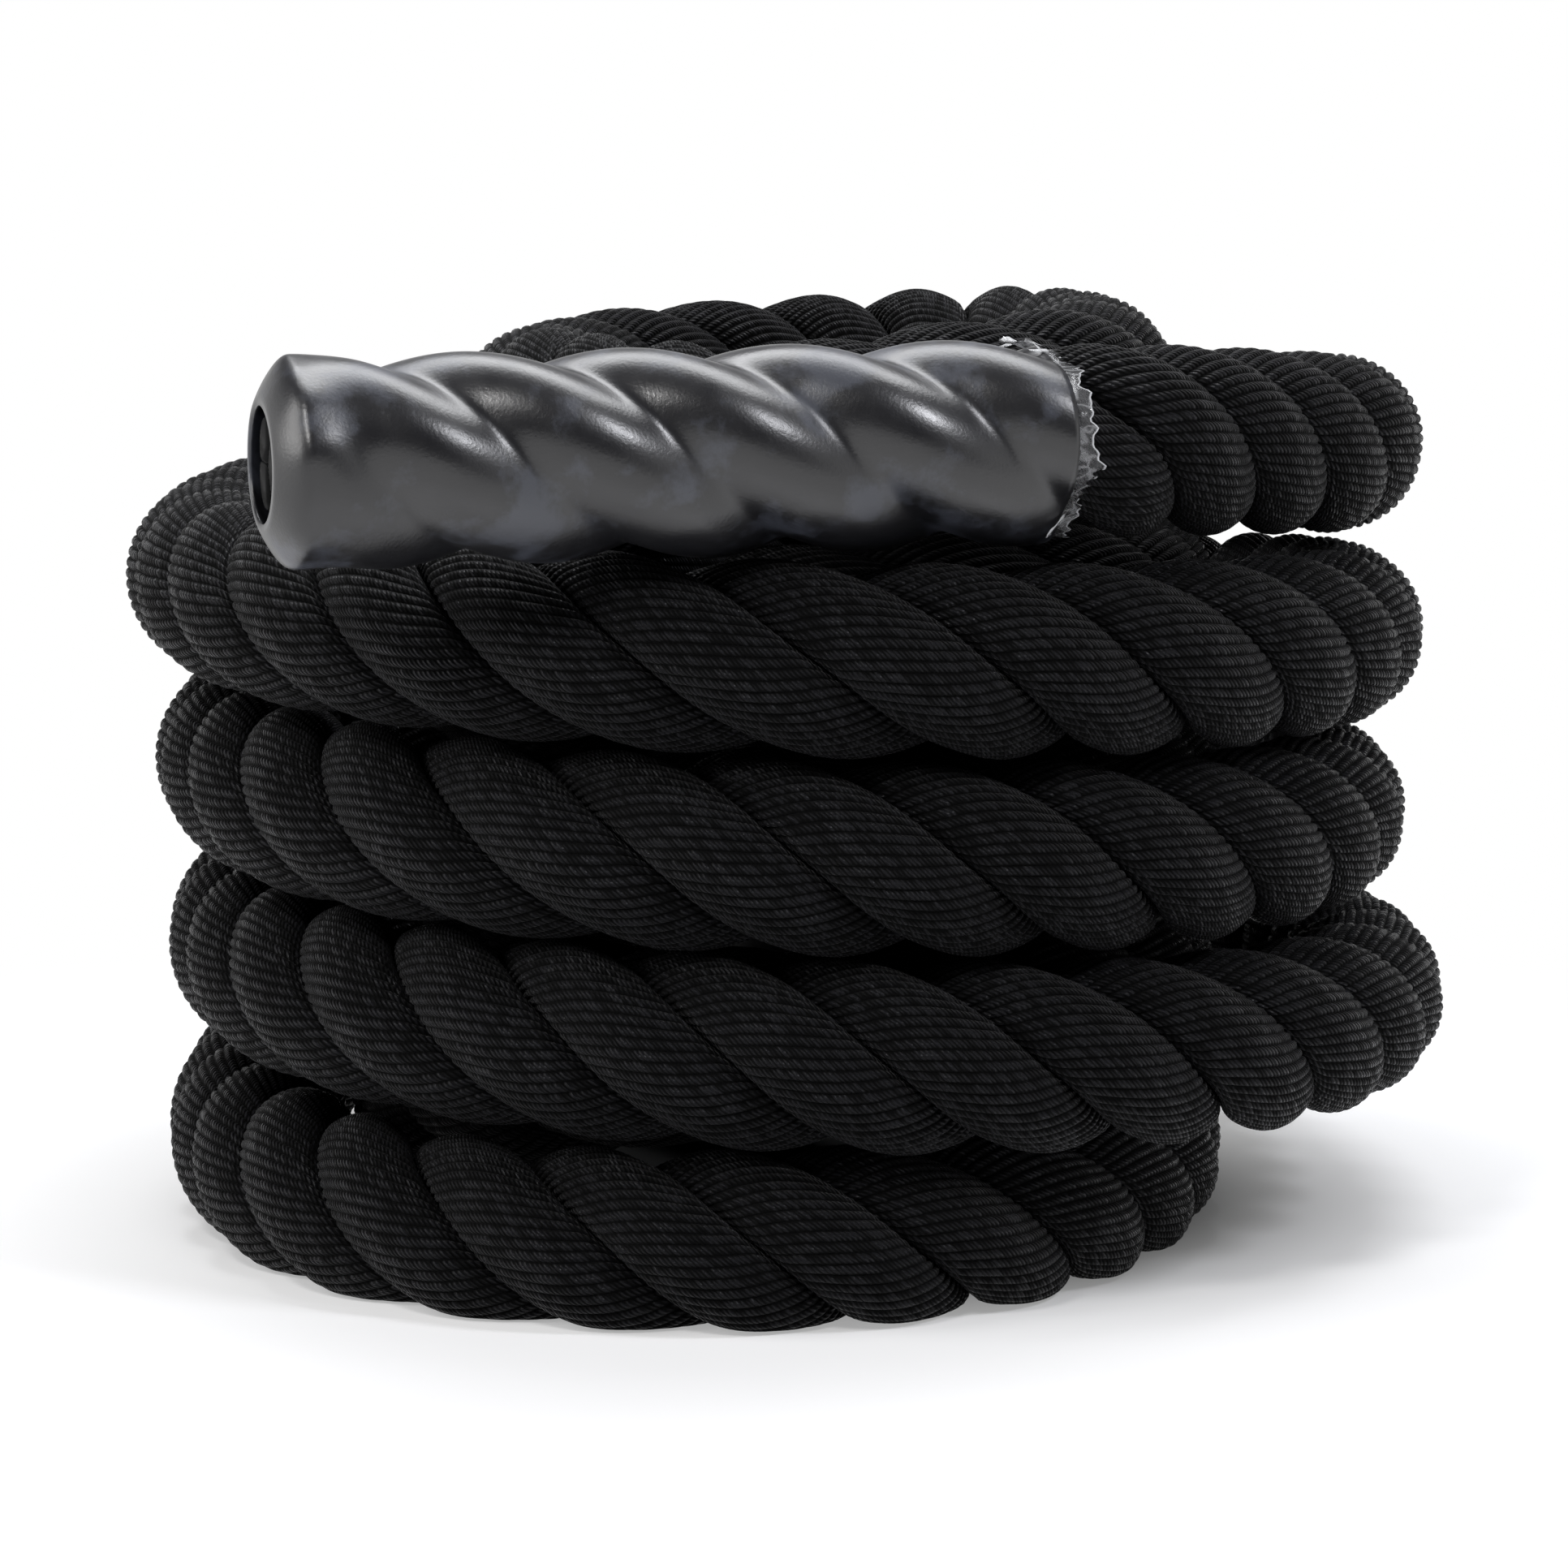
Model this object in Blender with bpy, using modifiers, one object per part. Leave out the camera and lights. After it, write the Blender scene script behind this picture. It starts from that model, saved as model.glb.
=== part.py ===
import math

import bmesh
import bpy
import numpy as np
from mathutils import Matrix, Vector

# Sizes in metres
ROPE_DIAMETER = 0.0508
CLEARANCE = 0.0003
TAPE_THICKNESS = 0.0004
MERGE_DISTANCE = 0.00001

# The coil as shares of the rope's diameter
# Its turns start at the front and go down the outer layer, then up the inner one
# Each row is turns, radius, height of the centre, shift of the loop to the right
COIL_SHARES = (
    (0.15, 3.17, 4.46, 0.00),
    (0.25, 3.21, 4.39, 0.00),
    (0.50, 3.22, 4.08, 0.00),
    (0.75, 3.26, 3.71, 0.00),
    (1.00, 3.16, 3.445, 0.00),
    (1.25, 3.22, 3.33, 0.00),
    (1.50, 3.18, 3.00, 0.00),
    (1.75, 3.11, 2.66, 0.00),
    (2.00, 3.08, 2.425, 0.00),
    (2.25, 3.13, 2.30, 0.00),
    (2.50, 3.10, 1.97, 0.00),
    (2.75, 3.05, 1.63, 0.00),
    (3.00, 3.06, 1.41, 0.00),
    (3.25, 3.37, 1.23, 0.00),
    (3.50, 3.18, 0.88, 0.00),
    (3.75, 3.06, 0.53, 0.00),
    (3.90, 3.06, 0.40, 0.00),
    (4.00, 2.96, 0.40, 0.00),
    (4.07, 2.62, 0.40, 0.00),
    (4.14, 2.27, 0.40, 0.00),
    (4.25, 2.06, 0.40, 0.00),
    (4.50, 2.04, 0.40, 0.00),
    (4.62, 2.02, 0.42, 0.00),
    (4.75, 2.01, 0.60, 0.00),
    (4.88, 2.01, 1.00, 0.00),
    (5.00, 2.02, 1.36, 0.00),
    (5.12, 2.03, 1.45, 0.00),
    (5.50, 2.03, 1.47, 0.00),
    (5.75, 2.00, 1.64, 0.00),
    (5.88, 2.00, 2.05, 0.00),
    (6.00, 2.02, 2.41, 0.00),
    (6.12, 2.03, 2.50, 0.00),
    (6.50, 2.03, 2.52, 0.00),
    (6.75, 2.00, 2.69, 0.00),
    (6.88, 2.00, 3.11, 0.00),
    (7.00, 2.02, 3.45, 0.00),
    (7.12, 2.03, 3.55, 0.00),
    (7.50, 2.03, 3.57, 0.00),
    (7.75, 2.02, 3.71, 0.00),
    (7.88, 1.98, 4.17, 0.00),
    (8.00, 1.86, 4.50, 0.03),
    (8.12, 1.76, 4.66, 0.10),
    (8.25, 1.62, 4.76, 0.17),
    (8.38, 1.64, 4.79, 0.18),
    (8.50, 1.66, 4.73, 0.18),
    (8.62, 1.62, 4.66, 0.18),
    (8.75, 1.57, 4.57, 0.17),
)
# Half of the straight stretch that makes the coil deeper than it is wide
COIL_DEPTH_SHARE = 0.82
COIL_CORNER = 2.2
FIRST_TURN = 0.20
POINTS_PER_TURN = 24

# Where the rope leaves the top loop and dives into the core: x, y, z
DIVE_SHARES = (
    (-1.10, -0.82, 4.54),
    (-0.57, -1.40, 4.50),
    (0.10, -1.60, 4.37),
    (0.63, -1.36, 4.02),
)

# The sleeves' axes: x, y, z of the middle of each end face
FRONT_TIP_SHARES = (-2.42, -4.72, 4.45)
FRONT_MOUTH_SHARES = (1.45, -3.52, 4.52)
REAR_MOUTH_SHARES = (0.84, -0.74, 3.335)
REAR_AIM_SHARES = (-0.33, 1.60, 0.40)

# The sleeve's shape
LOBES = 3
CREST_SHARE = 0.522
VALLEY_SHARE = 0.474
SQUEEZED_SHARE = 0.43
LAY_SHARE = 2.40
CREST_AT_SHARE = 1.00
CHAMFER_SHARE = 0.18
RIM_SHARE = 0.40
HOLE_SHARE = 0.27
END_WALL_SHARE = 0.03
TAPE_IN_SHARE = 0.42
TAPE_OUT_SHARE = 0.10
NECK_SHARE = 0.13
STRAIGHT_SHARE = 0.28
SWELL_SHARE = 0.40
SECTION_POINTS = 30
STATIONS = 30
TAPE_STEPS = 24

# The flat on the floor
ROPE_SIDES = 6
CUT_SHARE = 0.10
CUT_BOX_SHARE = 12.0
SAME_STRETCH_SHARE = 2.2


def clear_scene():
    for found in list(bpy.data.objects):
        bpy.data.objects.remove(found)


def collection_for(name):
    made = bpy.data.collections.new(name)
    bpy.context.scene.collection.children.link(made)
    return made


def material_for(name, colour, roughness):
    made = bpy.data.materials.new(name)
    made.use_nodes = True
    shader = made.node_tree.nodes["Principled BSDF"]
    shader.inputs["Base Color"].default_value = (*colour, 1.0)
    shader.inputs["Roughness"].default_value = roughness
    return made


def through(table, turns, column):
    knots = [row[0] for row in table]
    values = [row[column] for row in table]
    if turns <= knots[0]:
        return values[0]
    if turns >= knots[-1]:
        return values[-1]
    low = max(place for place in range(len(knots) - 1) if knots[place] <= turns)

    def slope(place):
        if place in (0, len(knots) - 1):
            return 0.0
        return (values[place + 1] - values[place - 1]) / (knots[place + 1] - knots[place - 1])

    step = knots[low + 1] - knots[low]
    part = (turns - knots[low]) / step
    start = (2 * part**3 - 3 * part**2 + 1) * values[low]
    start += (part**3 - 2 * part**2 + part) * slope(low) * step
    end = (3 * part**2 - 2 * part**3) * values[low + 1]
    end += (part**3 - part**2) * slope(low + 1) * step
    return start + end


def coil_point(turns):
    angle = 2 * math.pi * turns - math.pi / 2
    radius = through(COIL_SHARES, turns, 1)
    stretch = math.tanh(COIL_CORNER * math.sin(angle)) / math.tanh(COIL_CORNER)
    across = radius * math.cos(angle) + through(COIL_SHARES, turns, 3)
    along = radius * math.sin(angle) + COIL_DEPTH_SHARE * stretch
    return np.array([across, along, through(COIL_SHARES, turns, 2)])


def curve_through(knots, steps):
    marks = [0.0]
    for first, second in zip(knots, knots[1:]):
        marks.append(marks[-1] + math.sqrt(np.linalg.norm(second - first)))
    points = []
    for place in range(1, len(knots) - 2):
        for step in range(steps):
            mark = marks[place] + (marks[place + 1] - marks[place]) * step / steps
            level = list(knots[place - 1:place + 3])
            times = marks[place - 1:place + 3]
            spans = ((0, 1), (1, 2), (2, 3)), ((0, 2), (1, 3)), ((1, 2),)
            for pairs in spans:
                for item, (low, high) in enumerate(pairs):
                    share = (mark - times[low]) / (times[high] - times[low])
                    level[item] = level[item] * (1 - share) + level[item + 1] * share
            points.append(level[0])
    return points


def unit(vector):
    return vector / np.linalg.norm(vector)


def sleeve_axes():
    front_tip = np.array(FRONT_TIP_SHARES)
    front_mouth = np.array(FRONT_MOUTH_SHARES)
    length = np.linalg.norm(front_mouth - front_tip)
    rear_mouth = np.array(REAR_MOUTH_SHARES)
    rear_tip = rear_mouth + unit(np.array(REAR_AIM_SHARES) - rear_mouth) * length
    return (front_tip, front_mouth), (rear_tip, rear_mouth)


def rope_route():
    front, rear = sleeve_axes()
    front_way = unit(front[1] - front[0])
    rear_way = unit(rear[1] - rear[0])
    inset = END_WALL_SHARE + CLEARANCE / ROPE_DIAMETER
    front_exit = front[1] + front_way * STRAIGHT_SHARE
    rear_exit = rear[1] + rear_way * STRAIGHT_SHARE
    points = [front[0] + front_way * inset, front[1] + front_way * NECK_SHARE]
    points += curve_through(
        [front[1], front_exit, coil_point(FIRST_TURN), coil_point(FIRST_TURN + 0.05)], 6
    )
    last_turn = COIL_SHARES[-1][0]
    count = round((last_turn - FIRST_TURN) * POINTS_PER_TURN)
    for step in range(count):
        points.append(coil_point(FIRST_TURN + step / POINTS_PER_TURN))
    knots = [coil_point(last_turn - 1 / POINTS_PER_TURN), coil_point(last_turn)]
    knots += [np.array(row) for row in DIVE_SHARES]
    knots += [rear_exit, rear[1]]
    points += curve_through(knots, 3)
    points += [rear_exit, rear[1] + rear_way * NECK_SHARE, rear[0] + rear_way * inset]
    return np.array(points) * ROPE_DIAMETER


def swell(route):
    steps = np.linalg.norm(np.diff(route, axis=0), axis=1)
    along = np.concatenate([[0.0], np.cumsum(steps)]) / ROPE_DIAMETER
    squeezed = along[1]
    left = along[-1] - along
    full = 2 * SQUEEZED_SHARE
    sizes = []
    for forward, backward in zip(along, left):
        past = min(forward, backward) - squeezed
        share = min(max(past / SWELL_SHARE, 0.0), 1.0)
        sizes.append(full + (1.0 - full) * share)
    return sizes


def least_distance(route, others=None):
    steps = np.linalg.norm(np.diff(route, axis=0), axis=1)
    along = np.concatenate([[0.0], np.cumsum(steps)])
    starts = route[:-1]
    ways = route[1:] - starts
    least = (math.inf, route[0])
    for place, point in enumerate(route if others is None else others):
        share = ((point - starts) * ways).sum(1) / (ways * ways).sum(1)
        nearest = starts + ways * np.clip(share, 0.0, 1.0)[:, None]
        gaps = np.linalg.norm(nearest - point, axis=1)
        if others is None:
            gaps = gaps[along[:-1] - along[place] > SAME_STRETCH_SHARE * ROPE_DIAMETER]
        if len(gaps) and gaps.min() < least[0]:
            least = (gaps.min(), point)
    return least


def mesh_from_curve(source, name, holder):
    depsgraph = bpy.context.evaluated_depsgraph_get()
    mesh = bpy.data.meshes.new_from_object(source.evaluated_get(depsgraph))
    mesh.name = name
    place = source.matrix_world.copy()
    bpy.data.objects.remove(source)
    made = bpy.data.objects.new(name, mesh)
    made.matrix_world = place
    holder.objects.link(made)
    shape = bmesh.new()
    shape.from_mesh(mesh)
    bmesh.ops.remove_doubles(shape, verts=shape.verts, dist=MERGE_DISTANCE)
    bmesh.ops.recalc_face_normals(shape, faces=shape.faces)
    shape.to_mesh(mesh)
    shape.free()
    return made


def finish(made, material):
    made.data.materials.clear()
    made.data.materials.append(material)
    for face in made.data.polygons:
        face.use_smooth = True


def make_rope(route, holder):
    line = bpy.data.curves.new("rope_line", "CURVE")
    line.dimensions = "3D"
    line.twist_mode = "Z_UP"
    line.bevel_depth = ROPE_DIAMETER / 2
    line.bevel_resolution = 1
    line.use_fill_caps = True
    spline = line.splines.new("POLY")
    spline.points.add(len(route) - 1)
    for knot, point, size in zip(spline.points, route, swell(route)):
        knot.co = (*point, 1.0)
        knot.radius = size
        knot.tilt = math.pi / ROPE_SIDES
    source = bpy.data.objects.new("rope_line", line)
    holder.objects.link(source)
    return mesh_from_curve(source, "rope", holder)


def cut_flat(made, cutters):
    side = CUT_BOX_SHARE * ROPE_DIAMETER
    mesh = bpy.data.meshes.new("floor_cut")
    shape = bmesh.new()
    bmesh.ops.create_cube(shape, size=side)
    shape.to_mesh(mesh)
    shape.free()
    box = bpy.data.objects.new("floor_cut", mesh)
    box.location = (0.0, 0.0, -side / 2)
    box.hide_render = True
    box.display_type = "WIRE"
    cutters.objects.link(box)
    cut = made.modifiers.new("floor_cut", "BOOLEAN")
    cut.operation = "DIFFERENCE"
    cut.solver = "EXACT"
    cut.object = box


def axis_frame(ends):
    way = unit(ends[1] - ends[0])
    side = unit(np.cross(np.array([0.0, 0.0, 1.0]), way))
    up = np.cross(way, side)
    return ends[0] * ROPE_DIAMETER, way, side, up


def section(frame, place, radius_at):
    start, way, side, up = frame
    points = []
    for step in range(SECTION_POINTS):
        angle = 2 * math.pi * step / SECTION_POINTS
        radius = radius_at(angle)
        ring = side * math.cos(angle) + up * math.sin(angle)
        points.append(start + way * place + ring * radius)
    return points


def lobed(place, length):
    position = place / ROPE_DIAMETER
    crest = math.pi / 2 + 2 * math.pi * (position - CREST_AT_SHARE) / LAY_SHARE
    grow = min(position / CHAMFER_SHARE, 1.0)
    grow = grow * grow * (3 - 2 * grow)
    mean = (CREST_SHARE + VALLEY_SHARE) / 2
    relief = (CREST_SHARE - VALLEY_SHARE) / 2

    def radius_at(angle):
        wave = relief * math.cos(LOBES * (angle - crest))
        full = mean + wave
        return (RIM_SHARE + (full - RIM_SHARE) * grow) * ROPE_DIAMETER

    return radius_at


def make_sleeve(name, ends, holder):
    frame = axis_frame(ends)
    length = np.linalg.norm(ends[1] - ends[0]) * ROPE_DIAMETER
    bore = SQUEEZED_SHARE * ROPE_DIAMETER + CLEARANCE
    mouth_bore = bore + TAPE_THICKNESS + CLEARANCE
    step_at = length - TAPE_IN_SHARE * ROPE_DIAMETER - CLEARANCE
    chamfer = CHAMFER_SHARE * ROPE_DIAMETER
    outside = [chamfer * step / 3 for step in range(3)]
    outside += [chamfer + (length - chamfer) * step / STATIONS for step in range(STATIONS + 1)]
    rings = [section(frame, place, lobed(place, length)) for place in outside]
    inside = (
        (length, mouth_bore),
        (step_at, mouth_bore),
        (step_at, bore),
        (END_WALL_SHARE * ROPE_DIAMETER, bore),
        (END_WALL_SHARE * ROPE_DIAMETER, HOLE_SHARE * ROPE_DIAMETER),
        (0.0, HOLE_SHARE * ROPE_DIAMETER),
    )
    for place, radius in inside:
        rings.append(section(frame, place, lambda angle, kept=radius: kept))
    mesh = bpy.data.meshes.new(name)
    shape = bmesh.new()
    verts = [[shape.verts.new(point) for point in ring] for ring in rings]
    for place in range(len(verts)):
        following = verts[(place + 1) % len(verts)]
        for step in range(SECTION_POINTS):
            after = (step + 1) % SECTION_POINTS
            ring = verts[place]
            shape.faces.new((ring[step], ring[after], following[after], following[step]))
    shape.to_mesh(mesh)
    shape.free()
    made = bpy.data.objects.new(name, mesh)
    holder.objects.link(made)
    return made


def make_tape(name, ends, holder):
    start, way, side, up = axis_frame(ends)
    length = np.linalg.norm(ends[1] - ends[0]) * ROPE_DIAMETER
    inner = SQUEEZED_SHARE * ROPE_DIAMETER + CLEARANCE
    outer = inner + TAPE_THICKNESS
    low = length - TAPE_IN_SHARE * ROPE_DIAMETER
    high = length + TAPE_OUT_SHARE * ROPE_DIAMETER
    mesh = bpy.data.meshes.new(name)
    corners = [(inner, 0.0, low), (outer, 0.0, low), (outer, 0.0, high), (inner, 0.0, high)]
    mesh.from_pydata(corners, [(0, 1), (1, 2), (2, 3), (3, 0)], [])
    made = bpy.data.objects.new(name, mesh)
    made.matrix_world = Matrix((
        (side[0], up[0], way[0], start[0]),
        (side[1], up[1], way[1], start[1]),
        (side[2], up[2], way[2], start[2]),
        (0.0, 0.0, 0.0, 1.0),
    ))
    holder.objects.link(made)
    turn = made.modifiers.new("turn", "SCREW")
    turn.axis = "Z"
    turn.angle = 2 * math.pi
    turn.screw_offset = 0.0
    turn.steps = TAPE_STEPS
    turn.render_steps = TAPE_STEPS
    turn.use_merge_vertices = True
    turn.merge_threshold = MERGE_DISTANCE
    turn.use_normal_calculate = True
    turn.use_normal_flip = True
    return made


def bounds_of(pieces):
    bpy.context.view_layer.update()
    depsgraph = bpy.context.evaluated_depsgraph_get()
    corners = []
    for piece in pieces:
        seen = piece.evaluated_get(depsgraph)
        mesh = seen.to_mesh()
        corners += [seen.matrix_world @ vert.co for vert in mesh.vertices]
        seen.to_mesh_clear()
    points = np.array(corners)
    return points.min(axis=0), points.max(axis=0)


def main():
    clear_scene()
    holder = collection_for("battle_rope")
    cutters = collection_for("cutters")
    rope_black = material_for("rope", (0.012, 0.012, 0.014), 0.75)
    sleeve_black = material_for("sleeve", (0.010, 0.010, 0.012), 0.35)
    clear_film = material_for("tape", (0.75, 0.76, 0.78), 0.20)

    route = rope_route()
    front, rear = sleeve_axes()
    rope = make_rope(route, holder)
    cut_flat(rope, cutters)
    finish(rope, rope_black)
    pieces = [rope]
    for name, ends in (("front", front), ("rear", rear)):
        sleeve = make_sleeve(name + "_sleeve", ends, holder)
        finish(sleeve, sleeve_black.copy())
        tape = make_tape(name + "_tape", ends, holder)
        finish(tape, clear_film.copy())
        pieces += [sleeve, tape]

    low, high = bounds_of(pieces)
    middle = (low + high) / 2
    for made in pieces + list(cutters.objects):
        made.location -= Vector((middle[0], middle[1], 0.0))
    bpy.context.view_layer.update()

    steps = np.linalg.norm(np.diff(route, axis=0), axis=1)
    print("rope length in mm:", round(1000 * steps.sum(), 1))
    least, place = least_distance(route)
    spot = np.round(place / ROPE_DIAMETER, 2)
    print("rope's least gap to itself in mm:", round(1000 * (least - ROPE_DIAMETER), 2), "at", spot)
    reach = (0.5 + CREST_SHARE) * ROPE_DIAMETER
    along = np.concatenate([[0.0], np.cumsum(steps)])
    for name, ends, run in (("front", front, along), ("rear", rear, along[-1] - along)):
        line = [ends[0] + (ends[1] - ends[0]) * share for share in np.linspace(0.0, 1.0, 40)]
        others = np.array(line) * ROPE_DIAMETER
        own = np.linalg.norm(ends[1] - ends[0]) + SAME_STRETCH_SHARE
        least, place = least_distance(route[run > own * ROPE_DIAMETER], others)
        spot = np.round(place / ROPE_DIAMETER, 2)
        print(name, "sleeve's least gap to the coil in mm:", round(1000 * (least - reach), 2), "at", spot)
    print("moved by in m:", round(-middle[0], 6), round(-middle[1], 6))
    print("box in m:", np.round(high - low, 4))


main()
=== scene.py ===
import math

import bmesh
import bpy
import numpy as np
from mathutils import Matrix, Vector


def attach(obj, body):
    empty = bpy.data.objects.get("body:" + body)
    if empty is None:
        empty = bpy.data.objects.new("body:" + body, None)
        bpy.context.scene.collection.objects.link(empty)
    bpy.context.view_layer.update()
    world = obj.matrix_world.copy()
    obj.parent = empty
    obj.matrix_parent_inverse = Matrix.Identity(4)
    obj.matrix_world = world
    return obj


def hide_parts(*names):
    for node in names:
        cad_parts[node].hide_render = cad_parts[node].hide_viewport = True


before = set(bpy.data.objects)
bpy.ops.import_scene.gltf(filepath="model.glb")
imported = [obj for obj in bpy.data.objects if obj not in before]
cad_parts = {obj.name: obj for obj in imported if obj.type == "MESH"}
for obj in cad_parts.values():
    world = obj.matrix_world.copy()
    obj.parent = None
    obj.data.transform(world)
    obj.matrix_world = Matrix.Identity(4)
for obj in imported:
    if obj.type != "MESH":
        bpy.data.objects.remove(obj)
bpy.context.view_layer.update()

# The rope and the coil, as the CAD model has them
ROPE_DIAMETER = 0.0508
MOVED = np.array([-0.002694, 0.017254, 0.0])
COIL_DEPTH_SHARE = 0.82
COIL_CORNER = 2.2
FIRST_TURN = 0.20
LAST_TURN = 8.75
# Each row is turns, radius, height of the centre, shift of the loop to the right
COIL_SHARES = (
    (0.15, 3.17, 4.46, 0.00),
    (0.25, 3.21, 4.39, 0.00),
    (0.50, 3.22, 4.08, 0.00),
    (0.75, 3.26, 3.71, 0.00),
    (1.00, 3.16, 3.445, 0.00),
    (1.25, 3.22, 3.33, 0.00),
    (1.50, 3.18, 3.00, 0.00),
    (1.75, 3.11, 2.66, 0.00),
    (2.00, 3.08, 2.425, 0.00),
    (2.25, 3.13, 2.30, 0.00),
    (2.50, 3.10, 1.97, 0.00),
    (2.75, 3.05, 1.63, 0.00),
    (3.00, 3.06, 1.41, 0.00),
    (3.25, 3.37, 1.23, 0.00),
    (3.50, 3.18, 0.88, 0.00),
    (3.75, 3.06, 0.53, 0.00),
    (3.90, 3.06, 0.40, 0.00),
    (4.00, 2.96, 0.40, 0.00),
    (4.07, 2.62, 0.40, 0.00),
    (4.14, 2.27, 0.40, 0.00),
    (4.25, 2.06, 0.40, 0.00),
    (4.50, 2.04, 0.40, 0.00),
    (4.62, 2.02, 0.42, 0.00),
    (4.75, 2.01, 0.60, 0.00),
    (4.88, 2.01, 1.00, 0.00),
    (5.00, 2.02, 1.36, 0.00),
    (5.12, 2.03, 1.45, 0.00),
    (5.50, 2.03, 1.47, 0.00),
    (5.75, 2.00, 1.64, 0.00),
    (5.88, 2.00, 2.05, 0.00),
    (6.00, 2.02, 2.41, 0.00),
    (6.12, 2.03, 2.50, 0.00),
    (6.50, 2.03, 2.52, 0.00),
    (6.75, 2.00, 2.69, 0.00),
    (6.88, 2.00, 3.11, 0.00),
    (7.00, 2.02, 3.45, 0.00),
    (7.12, 2.03, 3.55, 0.00),
    (7.50, 2.03, 3.57, 0.00),
    (7.75, 2.02, 3.71, 0.00),
    (7.88, 1.98, 4.17, 0.00),
    (8.00, 1.86, 4.50, 0.03),
    (8.12, 1.76, 4.66, 0.10),
    (8.25, 1.62, 4.76, 0.17),
    (8.38, 1.64, 4.79, 0.18),
    (8.50, 1.66, 4.73, 0.18),
    (8.62, 1.62, 4.66, 0.18),
    (8.75, 1.57, 4.57, 0.17),
)
DIVE_SHARES = ((-1.10, -0.82, 4.54), (-0.57, -1.40, 4.50), (0.10, -1.60, 4.37), (0.63, -1.36, 4.02))
FRONT_TIP_SHARES = (-2.42, -4.72, 4.45)
FRONT_MOUTH_SHARES = (1.45, -3.52, 4.52)
REAR_MOUTH_SHARES = (0.84, -0.74, 3.335)
REAR_AIM_SHARES = (-0.33, 1.60, 0.40)
END_WALL_SHARE = 0.036
STRAIGHT_SHARE = 0.28
FRONT_SLIDE_SHARE = 0.10
# How finely the route's three parts are stepped, and how far into the coil its curves aim
LEAD_STEPS = 24
COIL_STEPS = 2400
DIVE_STEPS = 16
LEAD_AIM_TURNS = 0.05
DIVE_AIM_TURNS = 1 / 24
# Points past the coil count as this much further, clear of every row of turns
PAST_COIL_TURNS = 1.0
SOFTENING_ROUNDS = 6

# The rope's lay: three strands, each pressed into its third of the section and round outside
STRANDS = 3
YARNS = 28
COLUMNS_PER_YARN = 4
STRAND_AT_SHARE = 0.27
CROWN_AT_SHARE = 0.17
CROWN_RADIUS_SHARE = 0.33
CORNER_POWER = 8.0
SECTION_STEPS = 1440
STEPS_PER_COLUMN = 8
YARN_DEPTH_SHARE = 0.017
YARN_FLATNESS = 0.6
YARN_PITCH_SHARE = 0.061
RING_STEP = 0.0020
HIDDEN_RING_STEP = 0.006
HIDDEN_TURNS = (4.40, 6.90)
COUNT_STEP_SHARE = 0.02
COUNT_BLUR_SHARE = 0.24
CREST_COUNT = 0.75
SQUEEZED = 0.95
TIP_SIZE = 0.50
SWELL_SHARE = 0.30
LEAD_TURN = 0.06
FLOOR_SOFTNESS_SHARE = 0.02
CLEAR_OF_FLOOR = 20.0
# Turns, and how many grooves between strands have faced outward since the front tip
GROOVE_COUNTS = (
    (0.078, 5.0),
    (0.119, 6.0),
    (0.152, 7.0),
    (0.891, 30.0),
    (0.927, 31.0),
    (0.966, 32.0),
    (1.009, 33.0),
    (1.051, 34.0),
    (1.087, 35.0),
    (1.127, 36.0),
    (1.886, 60.0),
    (1.926, 61.0),
    (1.968, 62.0),
    (2.007, 63.0),
    (2.046, 64.0),
    (2.084, 65.0),
    (2.121, 66.0),
    (2.873, 89.0),
    (2.911, 90.0),
    (2.950, 91.0),
    (2.989, 92.0),
    (3.027, 93.0),
    (3.065, 94.0),
    (3.103, 95.0),
    (3.138, 96.0),
    (3.882, 119.0),
    (3.922, 120.0),
    (3.960, 121.0),
    (3.996, 122.0),
    (4.031, 123.0),
    (4.074, 124.0),
    (8.433, 214.75),
    (8.493, 215.75),
    (8.558, 216.75),
    (8.686, 218.75),
)
GROOVE_SPACING_SHARE = 0.765

# The map for baking, in strips that run along the rope
BAKE_STRIPS = 8
BAKE_STRIP_MARGIN = 0.02
BAKE_END_MARGIN = 0.001
BAKE_CAP_AT = 0.0005

# The sleeves
LOBES = 3
LOBE_AT_SHARE = 0.16
LOBE_RADIUS_SHARE = 0.368
LOBE_POWER = 18.0
LAY_SHARE = 2.48
CREST_AT_SHARE = 1.03
SLEEVE_WALL_SHARE = 0.020
CHAMFER_SHARE = 0.16
CHAMFER_CURVE = 0.9
RIDGE_SHARE = 0.522
RIDGE_FADE_SHARE = 0.50
CREASE_SHARE = 0.006
CREASE_REACH_SHARE = 0.14
# Each wave of the creases: waves around, height, start, and turn along the sleeve
CREASE_WAVES = ((5, 1.0, 0.4, 0.0), (8, 0.7, 1.9, 0.0), (13, 0.4, 0.0, 4.0))
HOLE_SHARE = 0.29
LIP_SHARE = 0.33
SLEEVE_COLUMNS = 192
SLEEVE_RINGS = 170
RING_CROWDING = 1.25
TAPE_RINGS = 12
TAPE_GAP_SHARE = 0.003
TAPE_THICKNESS = 0.00008
TAPE_IN_SHARE = 0.30
TAPE_OUT_SHARE = 0.10
SHRED_STEPS = 8
SHRED_ROOT_SHARE = 0.01
SHRED_LIFT_SHARE = 0.006
SHRED_TAPER = 0.8
SHRED_WAVE = 0.25
SHRED_WAVES = 9.0
SHRED_SCATTER = 20.0
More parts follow.
